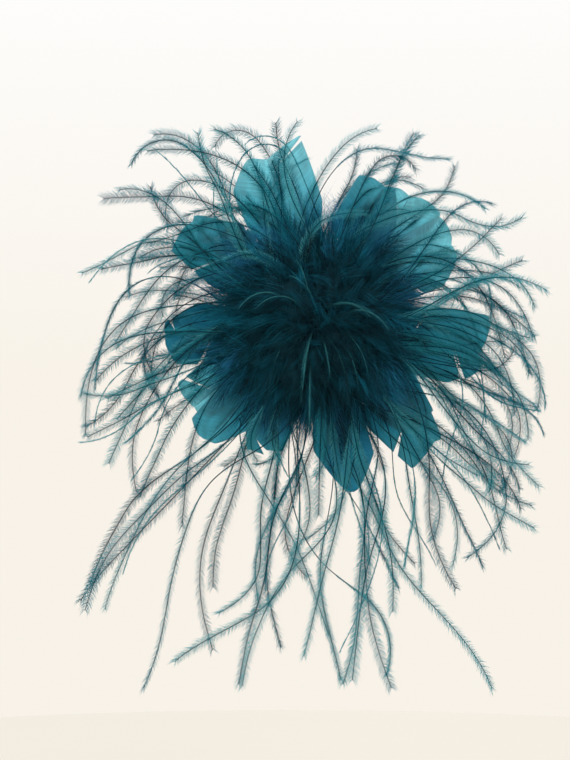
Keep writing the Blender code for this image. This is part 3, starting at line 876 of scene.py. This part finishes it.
goose = {
    "bareQuill": 0.13,  # share of the length before the vane starts
    "splits": (0, 3),  # on each side of the rib, at least and fewer than
    "splitGap": (1.5, 4.5),
    "splitPlace": (0.35, 0.92),
    "rows": 44,  # from root to tip, shared between the splits
    "columns": 9,
    "slant": 0.5,  # how far a barb's tip runs ahead of its root
    "roundness": (0.0, 0.35),  # 0 is a straight cut tip
    "cup": (-0.3, 0.5),
    "tilt": 0.05,  # how far one run of vane leans off its neighbour
    "ripple": 0.9,
    "lift": (4, 16),  # degrees that a rib rises off the flat
    "thickness": 0.22,
    "ribRadius": 0.7,
    "ribTipRadius": 0.18,
    "ribShare": 0.985,  # a rib ends just before the vane does
    "fine": 120,  # places worked out along the rib
    "petals": {
        # node: shade, length, width, turn, sweep and twist in degrees, where each side is cut, tip width
        # the light shade is the painted-light copy of the vane
        "goose_petal_back_1": ("light", 116, 58, 2, 10, 14, (0.74, 0.93), 0.40),
        "goose_petal_back_2": ("mid", 108, 46, -5, -12, -22, (0.85, 0.66), 0.20),
        "goose_petal_back_3": ("light", 98, 38, 4, 16, 24, (0.64, 0.86), 0.30),
        "goose_petal_back_4": ("mid", 94, 36, -6, -10, -26, (0.78, 0.60), 0.12),
        "goose_petal_back_5": ("mid", 112, 44, 6, 12, 20, (0.62, 0.90), 0.25),
        "goose_petal_back_6": ("mid", 112, 50, -3, -8, -18, (0.90, 0.72), 0.45),
        "goose_petal_back_7": ("light", 108, 46, 4, 10, 22, (0.70, 0.90), 0.35),
        "goose_petal_front_1": ("mid", 104, 42, -4, -12, 26, (0.88, 0.68), 0.30),
        "goose_petal_front_2": ("mid", 88, 36, 8, 10, -28, (0.66, 0.84), 0.15),
        "goose_petal_front_3": ("deep", 100, 42, 10, -10, 20, (0.82, 0.64), 0.25),
        "goose_petal_front_4": ("mid", 104, 36, -2, 8, -24, (0.64, 0.86), 0.20),
        "goose_petal_front_5": ("deep", 114, 38, 2, -5, 16, (0.70, 0.62), 0.05),
        "goose_petal_front_6": ("mid", 96, 40, -8, 12, -26, (0.60, 0.82), 0.20),
        "goose_petal_front_7": ("light", 106, 42, 6, -10, 20, (0.90, 0.70), 0.30),
    },
}


def sideWidth(u, cutAt, tipWidth, roundness):
    straight = np.interp(u, (goose["bareQuill"], 0.30, 0.52, cutAt, 1.0), (0.04, 0.55, 0.94, 1.0, tipWidth))
    past = np.clip((u - cutAt) / (1 - cutAt), 0, 1)
    rounded = np.where(past > 0, np.sqrt(1 - past**2), straight)
    return np.maximum(straight * (1 - roundness) + rounded * roundness, 0.02)


def makePetal(name, shade, length, width, turn, sweep, twist, cuts, tipWidth, rng):
    low, high = boxOf(name)
    centre = (low + high) / 2
    angle = math.atan2(centre[2], centre[0]) + math.radians(turn)
    fine = goose["fine"]
    u = np.linspace(0, 1, fine + 1)
    outward = angle + math.radians(sweep) * (u - 0.25)
    lift = math.radians(rng.uniform(*goose["lift"])) * np.sin(u * math.pi * rng.uniform(0.5, 1.0))
    steps = np.stack([np.cos(outward) * np.cos(lift), -np.sin(lift), np.sin(outward) * np.cos(lift)], 1)
    start = np.array([math.cos(angle) * stemRadius, high[1] - 1.5, math.sin(angle) * stemRadius])
    travelled = np.concatenate([[np.zeros(3)], np.cumsum(steps[:-1], axis=0)])
    rib = start + travelled * (length - stemRadius) / fine
    flat = np.stack([-np.sin(outward), 0 * u, np.cos(outward)], 1)
    face = unit(np.cross(steps, flat))
    roll = (math.radians(twist) * (u - 0.2))[:, None]
    across = np.cos(roll) * flat + np.sin(roll) * face
    face = unit(np.cross(steps, across))

    bunch = newBunch()
    columns = goose["columns"]
    roundness = rng.uniform(*goose["roundness"])
    for sign, cutAt in zip((1, -1), cuts):
        cup, wave = rng.uniform(*goose["cup"]), rng.uniform(0, math.tau)
        places = np.sort(rng.uniform(*goose["splitPlace"], rng.integers(*goose["splits"])))
        starts = np.concatenate([[goose["bareQuill"]], places, [1.0]])
        for begin, end in zip(starts, starts[1:]):
            rows = max(3, round(goose["rows"] * (end - begin)))
            gap = rng.uniform(*goose["splitGap"]) if len(places) else 0.0
            tilt = rng.normal(0, goose["tilt"])
            v = np.linspace(0, 1, columns + 1)
            rowU = np.linspace(begin, end, rows + 1)
            wide = sideWidth(rowU, cutAt, tipWidth, roundness) * width / 2
            place = rowU * fine
            base, side, ahead, normal = (sample(x, place) for x in (rib, across, steps, face))
            out = wide[:, None] * v[None]
            shut = (np.linspace(0.5, -0.5, rows + 1)[:, None] * gap) * v[None] ** 1.6
            along = out * goose["slant"] + shut
            ripple = goose["ripple"] * v[None] * np.sin(8 * rowU[:, None] + wave + 2 * v[None])
            height = out * (tilt + cup * v[None]) + ripple
            grid = (
                base[:, None] + side[:, None] * (sign * out)[:, :, None]
                + ahead[:, None] * along[:, :, None] + normal[:, None] * height[:, :, None]
            )
            skin = normal[:, None] * goose["thickness"] / 2
            points = np.concatenate([(grid + skin).reshape(-1, 3), (grid - skin).reshape(-1, 3)])
            r, c = np.meshgrid(np.arange(rows), np.arange(columns), indexing="ij")
            a = (r * (columns + 1) + c).ravel()
            below = (rows + 1) * (columns + 1)
            top = np.stack([a, a + 1, a + columns + 2, a + columns + 1], 1)[:, ::sign]
            under = top[:, ::-1] + below
            edge = list(range(columns + 1)) + [(k + 1) * (columns + 1) + columns for k in range(rows)]
            edge += [rows * (columns + 1) + k for k in range(columns - 1, -1, -1)]
            edge += [k * (columns + 1) for k in range(rows - 1, 0, -1)]
            edge = np.array(edge)
            after = np.roll(edge, -1)
            wall = np.stack([after, edge, edge + below, after + below], 1)[:, ::sign]
            quads = np.concatenate([top, under, wall])
            faces = np.concatenate([quads[:, [0, 1, 2]], quads[:, [0, 2, 3]]])
            uv = np.stack([np.repeat(rowU, columns + 1), np.tile(0.5 + sign * 0.49 * v, rows + 1)], 1)
            uv = uv * 0.98 + 0.01
            addTo(bunch, points, faces, np.concatenate([uv, uv]))
    kept = slice(0, int(fine * goose["ribShare"]), 3)
    ribPath = rib[kept] + face[kept] * 0.1
    sides = 6
    vaneFaces = sum(len(f) for f in bunch["faces"])
    addTube(bunch, ribPath, np.linspace(goose["ribRadius"], goose["ribTipRadius"], len(ribPath)), sides, 0)
    # the rib has its own place on the map: its full length, in the middle between the two vanes
    share = np.repeat(np.linspace(0.02, 0.98, len(ribPath)), sides)
    bunch["uvs"][-1] = np.stack([share, np.tile(np.linspace(0.45, 0.55, sides), len(ribPath))], 1)
    index = np.zeros(sum(len(f) for f in bunch["faces"]), np.int32)
    index[vaneFaces:] = 1
    ringName, number = name.split("_")[2:]
    pieceName = f"goosePetal{ringName.title()}{number}"
    materials = [vaneMaterials[shade], gooseQuill]
    buildPiece(pieceName, bunch, materials, "goose_feather", name, materialIndex=index)


petalRng = np.random.default_rng(5)
for petalName, settings in goose["petals"].items():
    makePetal(petalName, *settings, petalRng)
print("goose petals cut")


# ---- the back: felt, stiffener, stem and pin keep their own shapes and get their finishes here
def makeSurface(name, settings, colours, scale, stretch=(1, 1, 1), bump=0.0, roughness=None):
    material, tree, output = newMaterial(name)
    place = addNode(tree, "ShaderNodeTexCoord")
    laid = addNode(tree, "ShaderNodeMapping", {"Scale": stretch}, {"Vector": place.outputs["Object"]})
    grain = addNode(
        tree,
        "ShaderNodeTexNoise",
        {"Scale": scale, "Detail": 3.0, "Roughness": 0.65},
        {"Vector": laid.outputs[0]},
    )
    tone = addNode(tree, "ShaderNodeValToRGB", {"stops": colours}, {0: grain.outputs["Fac"]})
    shell = addNode(tree, "ShaderNodeBsdfPrincipled", settings, {"Base Color": tone.outputs["Color"]})
    if bump:
        relief = addNode(
            tree, "ShaderNodeBump", {"Strength": 0.6, "Distance": bump}, {"Height": grain.outputs["Fac"]}
        )
        tree.links.new(relief.outputs[0], shell.inputs["Normal"])
    if roughness:
        rough = addNode(
            tree,
            "ShaderNodeMapRange",
            {"To Min": roughness[0], "To Max": roughness[1]},
            {"Value": grain.outputs["Fac"]},
        )
        tree.links.new(rough.outputs["Result"], shell.inputs["Roughness"])
    tree.links.new(shell.outputs[0], output.inputs["Surface"])
    return material


# pressed wool felt: matt, with short matted fibres 0.02 mm thick, so the mottle is drawn at 1 mm to show
woolFelt = makeSurface(
    "pressedWoolFelt",
    {"Roughness": 0.95, "Specular IOR Level": 0.1, "Sheen Weight": 0.08, "Sheen Roughness": 0.6},
    ((0.36, "#07303d"), (0.5, "#0d4759"), (0.64, "#1a6074")),
    1000.0,
    bump=0.0005,
)
# buckram: open cotton weave stiffened with size, threads about 1 mm apart
sizedBuckram = makeSurface(
    "sizedCottonBuckram",
    {"Roughness": 0.8, "Specular IOR Level": 0.3},
    ((0.35, "#8f8a7b"), (0.65, "#c4bfae")),
    1000.0,
    stretch=(1, 0.1, 1),
    bump=0.0003,
)
# bound quills set in glue: long streaks with a dull polish
gluedQuills = makeSurface(
    "gluedDyedQuills",
    {"Roughness": 0.45, "IOR": 1.5},
    ((0.3, "#0d3340"), (0.6, "#1d5464"), (0.8, "#4d7f88")),
    700.0,
    stretch=(1, 0.08, 1),
    bump=0.0003,
)
# waxed polyester thread: twisted plies about 0.4 mm apart, with a slight shine
waxedThread = makeSurface(
    "waxedPolyesterThread",
    {"Roughness": 0.5, "Specular IOR Level": 0.4},
    ((0.35, "#1a5868"), (0.65, "#3f909f")),
    2500.0,
    stretch=(1, 0.3, 1),
    bump=0.0001,
)
# nickel-plated steel, tumbled: bright, with a fine satin haze
nickelSteel = makeSurface(
    "nickelPlatedSteel",
    {"Metallic": 1.0},
    ((0.3, "#8a8a88"), (0.7, "#aeadaa")),
    900.0,
    stretch=(0.15, 1, 1),
    roughness=(0.18, 0.36),
)

finishes = {
    woolFelt: ("backing_felt", "front_felt"),
    sizedBuckram: ("stiffener_disc",),
    gluedQuills: ("bound_stems",),
    waxedThread: ("binding_thread", *nodesNamed("bar_stitch")),
    nickelSteel: ("pin_bar", "hinge_rivet", "pin_stem", "catch_sleeve"),
}
for finish, names in finishes.items():
    for name in names:
        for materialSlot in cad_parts[name].material_slots:
            materialSlot.material = finish

rim = {
    "stitches": 40,
    "bite": 2.4,  # how far in from the rim the needle goes
    "threadRadius": 0.34,
    "edgeRound": 0.3,  # how much of the felt's edge the thread cuts off
    "edgeDrop": 0.6,
    "slant": 0.05,  # radians between a stitch's two ends
}


def makeRimStitches():
    low, high = boxOf("backing_felt")
    radius, back = high[0], high[1]
    front = boxOf("front_felt")[0][1]
    thread, bite, drop = rim["threadRadius"], rim["bite"], rim["edgeDrop"]
    edge = radius - rim["edgeRound"]
    # radius and depth along one stitch, from its hole in the back round the edge to its hole in the front
    profile = (
        (radius - bite, back - thread),
        (radius - bite * 0.8, back + thread),
        (edge, back + thread),
        (radius + thread, back - drop),
        (radius + thread, front + drop),
        (edge, front - thread),
        (radius - bite * 0.8, front - thread),
        (radius - bite, front + thread),
    )
    bunch = newBunch()
    for i in range(rim["stitches"]):
        turns = math.tau * i / rim["stitches"] + rim["slant"] * np.linspace(-0.5, 0.5, len(profile))
        path = np.array([(r * math.cos(t), y, r * math.sin(t)) for (r, y), t in zip(profile, turns)])
        addTube(bunch, path, np.full(len(path), thread), 6, 1)
    buildPiece("feltRimStitches", bunch, [waxedThread], "thread")


makeRimStitches()
print("back finished")
